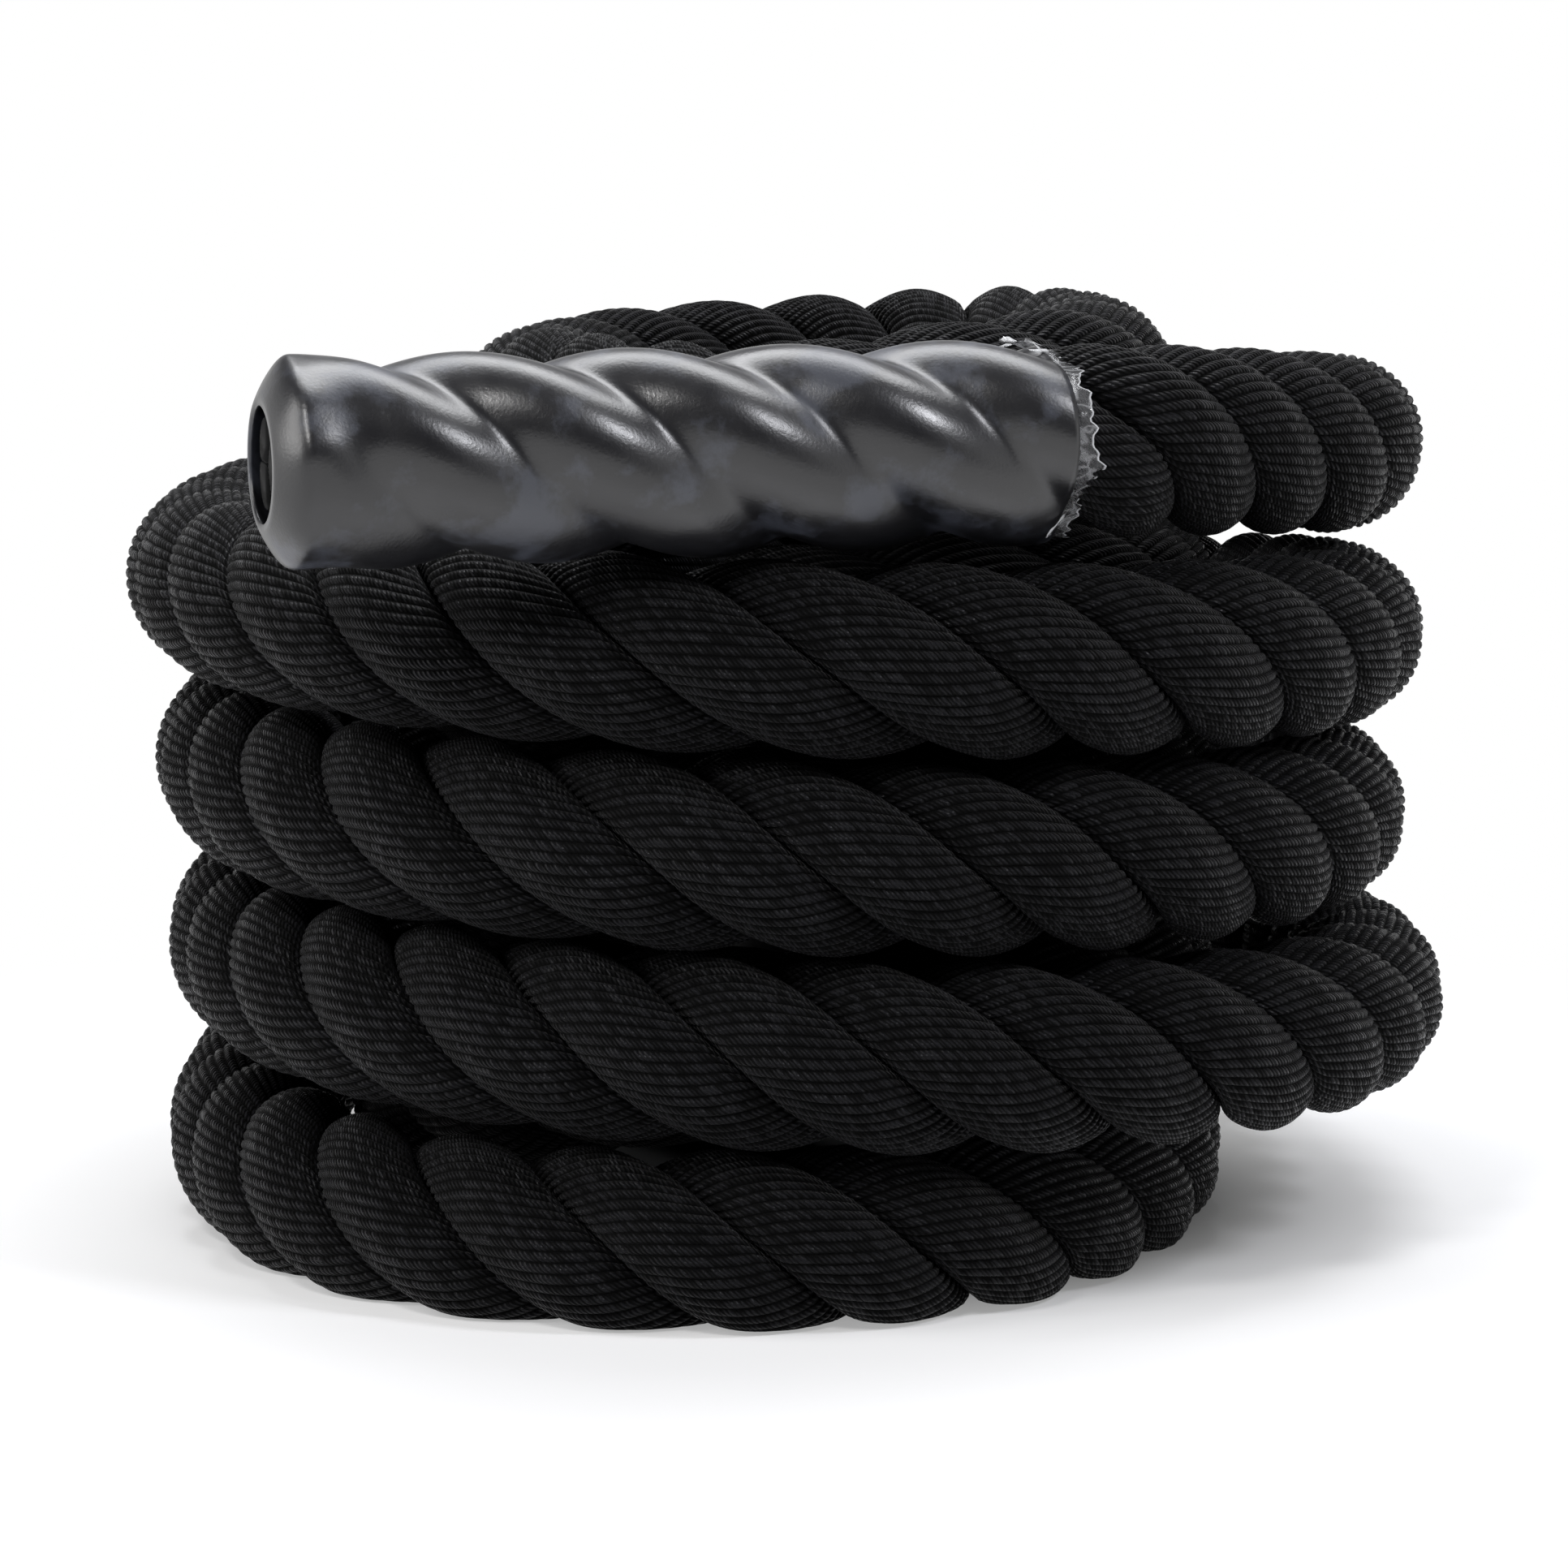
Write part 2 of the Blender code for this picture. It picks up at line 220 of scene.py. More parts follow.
# Each torn strip: angle from the top, reach back from the mouth, bulge, width, lift of its end, curl
SHRED_SHARES = (
    (-0.62, 0.16, 0.03, 0.16, 0.03, -0.10),
    (-0.36, 0.24, 0.05, 0.12, 0.05, 0.16),
    (-0.12, 0.20, 0.02, 0.15, 0.09, -0.12),
    (0.10, 0.27, 0.05, 0.10, 0.04, 0.14),
    (0.30, 0.15, 0.03, 0.12, 0.07, -0.08),
    (2.55, 0.10, 0.02, 0.12, 0.04, 0.10),
)
# Each wave of the tape's torn edge: waves around, height, start
TORN_WAVES = ((4, 0.022, 0.4), (9, 0.016, 2.1), (17, 0.012, 1.0), (31, 0.010, 3.0), (47, 0.007, 0.2))
# Where the bright line of the torn edge starts and is whole, as shares of the tape's length
TORN_BAND = (0.965, 0.990)

# The black yarn: a low crown across each yarn, and slanted plies along it
PLIES_PER_PITCH = 2.7
PLY_LEAN = -2.2
PLY_DEPTH = 0.50
PLY_MIDDLE = 0.25
PLY_SPREAD = 0.60
YARN_CROWN_POWER = 0.5
YARN_GLOSS = {"Specular IOR Level": 0.10, "Sheen Weight": 0.05, "Sheen Roughness": 0.4}
YARN_BUMP = {"Strength": 1.0, "Distance": 0.0006}
# Colours from painted shade in the grooves and between the plies to painted glints on the bead crowns
YARN_PAINTED_SHADE_GLINT_TONES = ((0.55, (0.0003, 0.0003, 0.0004, 1.0)), (1.0, (0.0120, 0.0120, 0.0138, 1.0)))
YARN_POLISH = (0.45, 0.95)
YARN_ROUGHNESS = (0.85, 0.26)

# The black sleeve: fine grain, shallow dents and pale scuffs
SLEEVE_GLOSS = {"Specular IOR Level": 0.85}
GRAIN = {"Scale": 1100.0, "Detail": 2.0}
GRAIN_BUMP = {"Strength": 0.35, "Distance": 0.00015}
DENTS = {"Scale": 45.0, "Detail": 1.0}
DENTS_BUMP = {"Strength": 0.30, "Distance": 0.0012}
SCUFFS = {"Scale": 42.0, "Detail": 7.0, "Roughness": 0.62}
SCUFFED = (0.35, 0.70)
SLEEVE_ROUGHNESS = (0.28, 0.42)
SCUFF_TONES = ((0.53, (0.009, 0.009, 0.011, 1.0)), (0.63, (0.044, 0.048, 0.062, 1.0)))

# The clear tape: wrinkles, painted glints and a pale torn edge
FILM_GLOSS = {"Base Color": (0.85, 0.86, 0.88, 1.0), "Roughness": 0.10, "Specular IOR Level": 0.9}
WANDER = {"Scale": 90.0}
WANDER_REACH = (0.012, 0.012, 0.012)
WRINKLES = {"Scale": 170.0}
WRINKLE_BUMP = {"Strength": 0.8, "Distance": 0.0010}
WRINKLE_WIDTH = (0.02, 0.07)
WRINKLE_DENSITY = (0.17, 0.05)
TORN_DENSITY = (0.0, 0.70)
# Painted glints: noise patches where the film is more opaque
PAINTED_GLINT_SPAN = (0.56, 0.68)
PAINTED_GLINT_ALPHA = (0.0, 0.35)

# The photograph's camera
CAMERA_SHARES = (0.028, -28.16, 5.40)
CAMERA_PITCH = 6.12
CAMERA_LENS = 110.5
CAMERA_SENSOR = 36.0
CAMERA_REACH = 20.0

# The studio
WHITE = (1.0, 1.0, 1.0, 1.0)
LIGHTS_AIM = (0.0, 0.0, 0.15)
# Each softbox: name, place, size, power in watts, colour
LIGHTS = (
    ("left_light", (-1.35, -0.55, 0.75), (0.9, 0.9), 10.0, (1.0, 0.99, 0.98)),
    ("front_light", (-0.55, -1.30, 1.25), (0.32, 0.26), 9.0, (1.0, 0.99, 0.98)),
    ("top_light", (0.05, 0.30, 1.25), (1.2, 0.6), 15.5, (0.97, 0.98, 1.0)),
    ("right_light", (1.00, -0.75, 1.20), (0.30, 0.30), 9.0, (0.94, 0.95, 1.0)),
)
# The dome is pale low down and at the back, and dim high up and in front
DOME_STRENGTH = 0.26
DOME_FRONT = 0.05
DOME_TONES = ((0.20, WHITE), (0.50, (0.10, 0.10, 0.11, 1.0)))
DOME_SIDES = (-0.75, -0.10)
# The floor has painted shade inside the coil, holds the shadow round it and turns plain white further out
FLOOR_RADIUS = 6.0
FLOOR_SIDES = 96
FLOOR_DROP = 0.0002
FLOOR_LIFT = 0.40
FLOOR_PAINTED_SHADE_REACH = (0.09, 0.20)
FLOOR_WHITE_REACH = (0.29, 0.56)
# Painted shade inside the coil, then the floor's own pale colour further out
FLOOR_PAINTED_SHADE_TONES = ((0.0, (0.05, 0.05, 0.05, 1.0)), (FLOOR_LIFT, (0.74, 0.74, 0.75, 1.0)))


# Nodes
def math_node(nodes, links, operation, *values):
    """Adds a math node, whose numbers are set and whose sockets are linked."""
    node = nodes.new("ShaderNodeMath")
    node.operation = operation
    for socket, value in zip(node.inputs, values):
        if isinstance(value, (int, float)):
            socket.default_value = value
        else:
            links.new(value, socket)
    return node.outputs["Value"]


def set_values(node, values):
    for name, value in values.items():
        node.inputs[name].default_value = value


def map_range(nodes, links, value, span, results, kind="LINEAR"):
    """Turns a value that goes through a span into one that goes through the results."""
    node = nodes.new("ShaderNodeMapRange")
    node.interpolation_type = kind
    for socket, number in zip(("From Min", "From Max", "To Min", "To Max"), span + results):
        node.inputs[socket].default_value = number
    links.new(value, node.inputs["Value"])
    return node.outputs["Result"]


def colour_ramp(nodes, links, value, stops):
    """Turns a value into a colour between two stops, each a place and a colour."""
    node = nodes.new("ShaderNodeValToRGB")
    for element, (place, colour) in zip(node.color_ramp.elements, stops):
        element.position = place
        element.color = colour
    links.new(value, node.inputs["Fac"])
    return node.outputs["Color"]


def noise_node(nodes, links, place, values):
    node = nodes.new("ShaderNodeTexNoise")
    set_values(node, values)
    links.new(place, node.inputs["Vector"])
    return node


def bump_node(nodes, links, height, values):
    node = nodes.new("ShaderNodeBump")
    set_values(node, values)
    links.new(height, node.inputs["Height"])
    return node


# Camera and light
def make_camera():
    data = bpy.data.cameras.new("camera")
    data.lens = CAMERA_LENS
    data.sensor_width = CAMERA_SENSOR
    data.clip_end = CAMERA_REACH
    camera = bpy.data.objects.new("camera", data)
    camera.location = np.array(CAMERA_SHARES) * ROPE_DIAMETER + MOVED
    camera.rotation_euler = (math.radians(90.0 - CAMERA_PITCH), 0.0, 0.0)
    bpy.context.scene.collection.objects.link(camera)
    bpy.context.scene.camera = camera


def make_softbox(name, place, aim, size, power, colour):
    data = bpy.data.lights.new(name, "AREA")
    data.shape = "RECTANGLE"
    data.size, data.size_y = size
    data.energy = power
    data.color = colour
    lamp = bpy.data.objects.new(name, data)
    lamp.location = place
    lamp.rotation_euler = (Vector(aim) - Vector(place)).to_track_quat("-Z", "Y").to_euler()
    bpy.context.scene.collection.objects.link(lamp)


def make_lights():
    for name, place, size, power, colour in LIGHTS:
        make_softbox(name, place, LIGHTS_AIM, size, power, colour)


def make_world():
    world = bpy.data.worlds.new("studio")
    bpy.context.scene.world = world
    world.use_nodes = True
    nodes = world.node_tree.nodes
    links = world.node_tree.links
    nodes.clear()
    path = nodes.new("ShaderNodeLightPath")
    clear = path.outputs["Is Transmission Ray"]
    seen = math_node(nodes, links, "MAXIMUM", path.outputs["Is Camera Ray"], clear)
    coordinates = nodes.new("ShaderNodeTexCoord")
    split = nodes.new("ShaderNodeSeparateXYZ")
    links.new(coordinates.outputs["Generated"], split.inputs["Vector"])
    dome = colour_ramp(nodes, links, split.outputs["Z"], DOME_TONES)
    brighter = math_node(nodes, links, "MULTIPLY", path.outputs["Is Glossy Ray"], 1.0 - DOME_STRENGTH)
    brighter = math_node(nodes, links, "ADD", brighter, DOME_STRENGTH)
    behind = map_range(nodes, links, split.outputs["Y"], DOME_SIDES, (DOME_FRONT, 1.0), "SMOOTHSTEP")
    lighting = nodes.new("ShaderNodeBackground")
    links.new(dome, lighting.inputs["Color"])
    links.new(math_node(nodes, links, "MULTIPLY", brighter, behind), lighting.inputs["Strength"])
    plain = nodes.new("ShaderNodeBackground")
    set_values(plain, {"Color": WHITE, "Strength": 1.0})
    mix = nodes.new("ShaderNodeMixShader")
    links.new(seen, mix.inputs["Fac"])
    links.new(lighting.outputs["Background"], mix.inputs[1])
    links.new(plain.outputs["Background"], mix.inputs[2])
    out = nodes.new("ShaderNodeOutputWorld")
    links.new(mix.outputs["Shader"], out.inputs["Surface"])


def floor_material():
    made = bpy.data.materials.new("floor_white")
    made.use_nodes = True
    nodes = made.node_tree.nodes
    links = made.node_tree.links
    nodes.clear()
    path = nodes.new("ShaderNodeLightPath")
    seen = math_node(nodes, links, "ADD", path.outputs["Is Camera Ray"], path.outputs["Is Glossy Ray"])
    seen = math_node(nodes, links, "ADD", seen, path.outputs["Is Transmission Ray"])
    seen = math_node(nodes, links, "MINIMUM", seen, 1.0)
    place = nodes.new("ShaderNodeTexCoord")
    reach = nodes.new("ShaderNodeVectorMath")
    reach.operation = "LENGTH"
    links.new(place.outputs["Object"], reach.inputs[0])
    reach = reach.outputs["Value"]
    # Painted shade: inside the coil the floor gets no lift and its colour goes dark
    lift = map_range(nodes, links, reach, FLOOR_PAINTED_SHADE_REACH, (0.0, FLOOR_LIFT), "SMOOTHSTEP")
    matt = nodes.new("ShaderNodeBsdfDiffuse")
    links.new(colour_ramp(nodes, links, lift, FLOOR_PAINTED_SHADE_TONES), matt.inputs["Color"])
    glow = nodes.new("ShaderNodeEmission")
    links.new(math_node(nodes, links, "MULTIPLY", seen, lift), glow.inputs["Strength"])
    near = nodes.new("ShaderNodeAddShader")
    links.new(matt.outputs["BSDF"], near.inputs[0])
    links.new(glow.outputs["Emission"], near.inputs[1])
    fade = map_range(nodes, links, reach, FLOOR_WHITE_REACH, (0.0, 1.0), "SMOOTHSTEP")
    white = nodes.new("ShaderNodeEmission")
    set_values(white, {"Color": WHITE})
    both = nodes.new("ShaderNodeMixShader")
    links.new(math_node(nodes, links, "MULTIPLY", fade, seen), both.inputs["Fac"])
    links.new(near.outputs["Shader"], both.inputs[1])
    links.new(white.outputs["Emission"], both.inputs[2])
    out = nodes.new("ShaderNodeOutputMaterial")
    links.new(both.outputs["Shader"], out.inputs["Surface"])
    return made


def make_floor():
    mesh = bpy.data.meshes.new("floor")
    shape = bmesh.new()
    bmesh.ops.create_circle(shape, cap_ends=True, radius=FLOOR_RADIUS, segments=FLOOR_SIDES)
    shape.to_mesh(mesh)
    shape.free()
    mesh.materials.append(floor_material())
    floor = bpy.data.objects.new("floor", mesh)
    floor.location = (0.0, 0.0, -FLOOR_DROP)
    bpy.context.scene.collection.objects.link(floor)


# The route of the rope, in rope diameters
def through(table, turns, column):
    """A smooth value between the rows of a table, each of which starts with its turns."""
    knots = [row[0] for row in table]
    values = [row[column] for row in table]
    if turns <= knots[0]:
        return values[0]
    if turns >= knots[-1]:
        return values[-1]
    low = max(place for place in range(len(knots) - 1) if knots[place] <= turns)

    def slope(place):
        if place in (0, len(knots) - 1):
            return 0.0
        return (values[place + 1] - values[place - 1]) / (knots[place + 1] - knots[place - 1])

    step = knots[low + 1] - knots[low]
    part = (turns - knots[low]) / step
    start = (2 * part**3 - 3 * part**2 + 1) * values[low]
    start += (part**3 - 2 * part**2 + part) * slope(low) * step
    end = (3 * part**2 - 2 * part**3) * values[low + 1]
    end += (part**3 - part**2) * slope(low + 1) * step
    return start + end


def coil_point(turns):
    """The middle of the rope after so many turns of the coil."""
    angle = 2 * math.pi * turns - math.pi / 2
    radius = through(COIL_SHARES, turns, 1)
    stretch = math.tanh(COIL_CORNER * math.sin(angle)) / math.tanh(COIL_CORNER)
    across = radius * math.cos(angle) + through(COIL_SHARES, turns, 3)
    along = radius * math.sin(angle) + COIL_DEPTH_SHARE * stretch
    return np.array([across, along, through(COIL_SHARES, turns, 2)])


def curve_through(knots, steps):
    """A smooth curve from the second knot to the last but one, in steps between each two knots."""
    marks = [0.0]
    for first, second in zip(knots, knots[1:]):
        marks.append(marks[-1] + math.sqrt(np.linalg.norm(second - first)))
    points = []
    for place in range(1, len(knots) - 2):
        for step in range(steps):
            mark = marks[place] + (marks[place + 1] - marks[place]) * step / steps
            level = list(knots[place - 1:place + 3])
            times = marks[place - 1:place + 3]
            spans = ((0, 1), (1, 2), (2, 3)), ((0, 2), (1, 3)), ((1, 2),)
            for pairs in spans:
                for item, (low, high) in enumerate(pairs):
                    share = (mark - times[low]) / (times[high] - times[low])
                    level[item] = level[item] * (1 - share) + level[item + 1] * share
            points.append(level[0])
    return points


def unit(vector):
    return vector / np.linalg.norm(vector)


def sleeve_axes():
    """The tip and the mouth of the front sleeve, which is slid outward, and of the rear one."""
    front_tip = np.array(FRONT_TIP_SHARES)
    front_mouth = np.array(FRONT_MOUTH_SHARES)
    length = np.linalg.norm(front_mouth - front_tip)
    slide = unit(front_tip - front_mouth) * FRONT_SLIDE_SHARE
    front_tip = front_tip + slide
    front_mouth = front_mouth + slide
    rear_mouth = np.array(REAR_MOUTH_SHARES)
    rear_tip = rear_mouth + unit(np.array(REAR_AIM_SHARES) - rear_mouth) * length
    return (front_tip, front_mouth), (rear_tip, rear_mouth)


def lengths_along(points):
    steps = np.linalg.norm(np.diff(points, axis=0), axis=1)
    return np.concatenate([[0.0], np.cumsum(steps)])


def fine_route():
    """The points of the route from tip to tip, and how many turns each has made."""
    front, rear = sleeve_axes()
    front_way = unit(front[1] - front[0])
    rear_way = unit(rear[1] - rear[0])
    front_exit = front[1] + front_way * STRAIGHT_SHARE
    rear_exit = rear[1] + rear_way * STRAIGHT_SHARE
    points = [front[0] + front_way * END_WALL_SHARE]
    lead = [front[1], front_exit, coil_point(FIRST_TURN), coil_point(FIRST_TURN + LEAD_AIM_TURNS)]
    points += [front[1]] + curve_through(lead, LEAD_STEPS)
    turns = [0.0] + list(np.linspace(LEAD_TURN, FIRST_TURN, len(points), endpoint=False))[1:]
    coiled = np.linspace(FIRST_TURN, LAST_TURN, COIL_STEPS)
    points += [coil_point(turn) for turn in coiled]
    turns += list(coiled)
    knots = [coil_point(LAST_TURN - DIVE_AIM_TURNS), coil_point(LAST_TURN)]
    knots += [np.array(row) for row in DIVE_SHARES]
    knots += [rear_exit, rear[1]]
    points += curve_through(knots, DIVE_STEPS)[1:]
    points += [rear_exit, rear[1], rear[0] + rear_way * END_WALL_SHARE]
    turns += [LAST_TURN + PAST_COIL_TURNS] * (len(points) - len(turns))
    return np.array(points), np.array(turns)


def even_route():
    """Evenly spaced points in rope diameters, their lengths along, and their strand counts."""
    points, turns = fine_route()
    along = lengths_along(points)
    coiled = (turns >= FIRST_TURN) & (turns <= LAST_TURN)
    hidden = [np.interp(turn, turns[coiled], along[coiled]) for turn in HIDDEN_TURNS]
    step = RING_STEP / ROPE_DIAMETER
    wide = HIDDEN_RING_STEP / ROPE_DIAMETER
    stretches = ((0.0, hidden[0], step), (hidden[0], hidden[1], wide), (hidden[1], along[-1], step))
    places = []
    for low, high, gap in stretches:
        places.append(np.linspace(low, high, round((high - low) / gap), endpoint=False))
    places = np.concatenate(places + [[along[-1]]])
    even = np.stack([np.interp(places, along, points[:, axis]) for axis in range(3)], axis=1)
    known = np.interp([row[0] for row in GROOVE_COUNTS], turns, along)
    dive_at = np.interp(LAST_TURN, turns, along)
    return softened(even), places, strand_counts(places, known, dive_at)


def mouth_place():
    """The length of rope from its tip to its sleeve's mouth."""
    return np.linalg.norm(np.array(FRONT_MOUTH_SHARES) - np.array(FRONT_TIP_SHARES)) - END_WALL_SHARE


def strand_counts(places, known, dive_at):
    """How many grooves have passed at each place, in phase with the lobes of both sleeves."""
    mouth = mouth_place()
    fine = np.arange(0.0, places[-1], COUNT_STEP_SHARE)
    front = CREST_COUNT + STRANDS * (fine + END_WALL_SHARE - CREST_AT_SHARE) / LAY_SHARE
    known = np.concatenate([[mouth], known])
    values = [np.interp(mouth, fine, front)] + [row[1] for row in GROOVE_COUNTS]
    counts = np.interp(fine, known, values)
    past = GROOVE_COUNTS[-1][1] + (fine - known[-1]) / GROOVE_SPACING_SHARE
    counts = np.where(fine < known[0], front, counts)
    counts = np.where(fine > known[-1], past, counts)
    rear = CREST_COUNT - STRANDS * (places[-1] - fine + END_WALL_SHARE - CREST_AT_SHARE) / LAY_SHARE
    rear_mouth = places[-1] - mouth
    rear += round(np.interp(rear_mouth, fine, past - rear))
    share = smooth_step((fine - dive_at) / (rear_mouth - dive_at))
    counts = blurred(counts * (1 - share) + rear * share, round(COUNT_BLUR_SHARE / COUNT_STEP_SHARE))
    return np.interp(places, fine, counts)


def blurred(values, width):
    """Running means of the values, which go on past both ends at the same slope."""
    before = 2 * values[0] - values[width:0:-1]
    after = 2 * values[-1] - values[-2:-width - 2:-1]
    window = np.ones(2 * width + 1) / (2 * width + 1)
    return np.convolve(np.concatenate([before, values, after]), window, mode="valid")


def softened(points):
    """The points with the slight corners between the route's stretches rounded off."""
    out = points.copy()
    for _ in range(SOFTENING_ROUNDS):
        before = out[:-2]
        after = out[2:]
        out[1:-1] = out[1:-1] * 0.5 + (before + after) * 0.25
    return out


def sides_along(points):
    """The directions to the side and up, square to the way of the points."""
    ways = np.gradient(points, axis=0)
    ways /= np.linalg.norm(ways, axis=1)[:, None]
    sides = np.cross(np.array([0.0, 0.0, 1.0]), ways)
    sides /= np.linalg.norm(sides, axis=1)[:, None]
    return sides, np.cross(ways, sides)


def smooth_step(share):
    share = np.clip(share, 0.0, 1.0)
    return share * share * (3 - 2 * share)


def squeeze_along(places):
    """The rope's size along its length: a little less in both sleeves, and less still at its tips."""
    near = np.minimum(places, places[-1] - places)
    size = SQUEEZED + (1.0 - SQUEEZED) * smooth_step((near - mouth_place()) / SWELL_SHARE)
    return size * (TIP_SIZE + (1.0 - TIP_SIZE) * smooth_step(near / SWELL_SHARE))


# Rope
def strand_section():
    """The edge of a strand's section as even steps: outward, across, and both parts of its normal."""
    angles = 2 * math.pi * np.arange(SECTION_STEPS + 1) / SECTION_STEPS
    shift = STRAND_AT_SHARE - CROWN_AT_SHARE
    crown = np.sqrt(CROWN_RADIUS_SHARE**2 - (shift * np.sin(angles)) ** 2) - shift * np.cos(angles)
    total = crown ** -CORNER_POWER
    wall = STRAND_AT_SHARE * math.sin(math.pi / STRANDS)
    for way in (-1, 1):
        facing = np.maximum(np.sin(way * angles - math.pi / STRANDS), 0.0)
        total = total + (facing / wall) ** CORNER_POWER
    radius = total ** (-1 / CORNER_POWER)
    edge = np.stack([STRAND_AT_SHARE + radius * np.cos(angles), radius * np.sin(angles)], axis=1)
    lengths = lengths_along(edge)
    columns = YARNS * COLUMNS_PER_YARN * STEPS_PER_COLUMN
    steps = lengths[-1] * np.arange(columns) / columns
    even = np.stack([np.interp(steps, lengths, edge[:, axis]) for axis in range(2)], axis=1)
    tangent = np.roll(even, -1, axis=0) - np.roll(even, 1, axis=0)
    tangent /= np.linalg.norm(tangent, axis=1)[:, None]
    normal = np.stack([tangent[:, 1], -tangent[:, 0]], axis=1)
    return even, normal, lengths[-1]


def strand_grid(points, places, counts, strand):
    """Rings of one strand whose columns follow its yarns, which lie along the rope on its crown."""
    sides, ups = sides_along(points)
    size = squeeze_along(places)
    angle = 2 * math.pi * (counts + strand) / STRANDS
    outward = sides * np.cos(angle)[:, None] + ups * np.sin(angle)[:, None]
    across = ups * np.cos(angle)[:, None] - sides * np.sin(angle)[:, None]
    edge, normal, edge_length = strand_section()
    columns = YARNS * COLUMNS_PER_YARN
    column = np.arange(columns)
    crest = CROWN_AT_SHARE + CROWN_RADIUS_SHARE
    share = column[None, :] / columns - (crest * angle / edge_length)[:, None]
    place = (share % 1.0) * len(edge)
    low = place.astype(int) % len(edge)
    part = (place - np.floor(place))[:, :, None]
    at = edge[low] * (1 - part) + edge[(low + 1) % len(edge)] * part
    profile = np.sin(math.pi * (column % COLUMNS_PER_YARN) / COLUMNS_PER_YARN) ** YARN_FLATNESS
    at = at - normal[low] * (YARN_DEPTH_SHARE * (1.0 - profile))[None, :, None]
    at = at * size[:, None, None]
    grid = points[:, None, :] + outward[:, None, :] * at[:, :, :1] + across[:, None, :] * at[:, :, 1:]
    return grid * ROPE_DIAMETER + MOVED


def rest_on_floor(grid):
    """Keeps every point above the floor, with a soft start to the flat."""
    soft = FLOOR_SOFTNESS_SHARE * ROPE_DIAMETER
    height = grid[:, :, 2] / soft
    kept = np.log1p(np.exp(np.minimum(height, CLEAR_OF_FLOOR)))
    grid[:, :, 2] = soft * np.where(height > CLEAR_OF_FLOOR, height, kept)
    return grid


def tube_corners(rings, columns):
    """The four corners of every face of a tube, as points, and as ring and column counts."""
    ring, column = np.meshgrid(np.arange(rings - 1), np.arange(columns), indexing="ij")
    corner_rings = np.stack([ring, ring, ring + 1, ring + 1], axis=-1).reshape(-1, 4)
    corner_columns = np.stack([column, column + 1, column + 1, column], axis=-1).reshape(-1, 4)
    return corner_rings * columns + corner_columns % columns, corner_rings, corner_columns


def bake_places(corner_rings, corner_columns, rings, columns):
    """Where each corner of a tube lies in the map for baking: along its strip, and strips counted up."""
    strip_rings = math.ceil((rings - 1) / BAKE_STRIPS)
    strip = corner_rings[:, :1] // strip_rings
    along = (corner_rings - strip * strip_rings) / strip_rings
    along = BAKE_END_MARGIN + (1 - 2 * BAKE_END_MARGIN) * along
    return along, strip + BAKE_STRIP_MARGIN + (1 - 2 * BAKE_STRIP_MARGIN) * corner_columns / columns


def mesh_of_tubes(name, grids, yarn_lengths):
    """One mesh of closed tubes with flat ends, a map that follows the yarns and a map for baking."""
    rings, columns = grids[0].shape[:2]
    points = np.concatenate([grid.reshape(-1, 3) for grid in grids])
    quads, corner_rings, corner_columns = tube_corners(rings, columns)
    along, strips = bake_places(corner_rings, corner_columns, rings, columns)
    tube = rings * columns
    corners = []
    yarn_map = []
    bake_map = []
    for item in range(len(grids)):
        corners.append((quads + item * tube).reshape(-1))
        across = corner_columns / columns * YARNS + item * YARNS
        yarn_map.append(np.stack([across, yarn_lengths[corner_rings]], axis=-1).reshape(-1, 2))
        row = (strips + item * BAKE_STRIPS) / (BAKE_STRIPS * len(grids))
        bake_map.append(np.stack([along, row], axis=-1).reshape(-1, 2))
    starts = np.arange(len(quads) * len(grids)) * 4
    for item in range(len(grids)):
        first = item * tube + np.arange(columns)[::-1]
        last = item * tube + (rings - 1) * columns + np.arange(columns)
        for end in (first, last):
            starts = np.append(starts, sum(len(part) for part in corners))
            corners.append(end)
            yarn_map.append(np.zeros((columns, 2)))
            bake_map.append(np.full((columns, 2), BAKE_CAP_AT))
    maps = {"yarn": yarn_map, "OFBake": bake_map}
    return filled_mesh(name, points, np.concatenate(corners), starts, maps)


def filled_mesh(name, points, corners, starts, maps):
    """A smooth mesh from its points, the corners of its faces, where each face starts, and its maps."""
    mesh = bpy.data.meshes.new(name)
    mesh.vertices.add(len(points))
    mesh.vertices.foreach_set("co", points.reshape(-1).astype(np.float32))
    mesh.loops.add(len(corners))
    mesh.loops.foreach_set("vertex_index", corners.astype(np.int32))
    mesh.polygons.add(len(starts))
    mesh.polygons.foreach_set("loop_start", starts.astype(np.int32))
    mesh.update(calc_edges=True)
    for map_name, values in maps.items():
        layer = mesh.uv_layers.new(name=map_name, do_init=False)
        layer.data.foreach_set("uv", np.concatenate(values).reshape(-1).astype(np.float32))
    mesh.polygons.foreach_set("use_smooth", np.ones(len(starts), dtype=bool))
    mesh.validate()
    return mesh


def make_rope():
    points, places, counts = even_route()
    grids = []
    for strand in range(STRANDS):
        grids.append(rest_on_floor(strand_grid(points, places, counts, strand)))
    mesh = mesh_of_tubes("rope_strands", grids, places / YARN_PITCH_SHARE)
    mesh.materials.append(yarn_material())
    rope = bpy.data.objects.new("rope_strands", mesh)
    bpy.context.scene.collection.objects.link(rope)
    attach(rope, "root")
    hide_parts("rope")
    return rope, points * ROPE_DIAMETER + MOVED


# Sleeves and tape
def axis_frame(ends):
    """The way from tip to mouth, and the directions to the side and up, square to it."""
    way = unit(ends[1] - ends[0])
    side = unit(np.cross(np.array([0.0, 0.0, 1.0]), way))
    return way, side, np.cross(way, side)


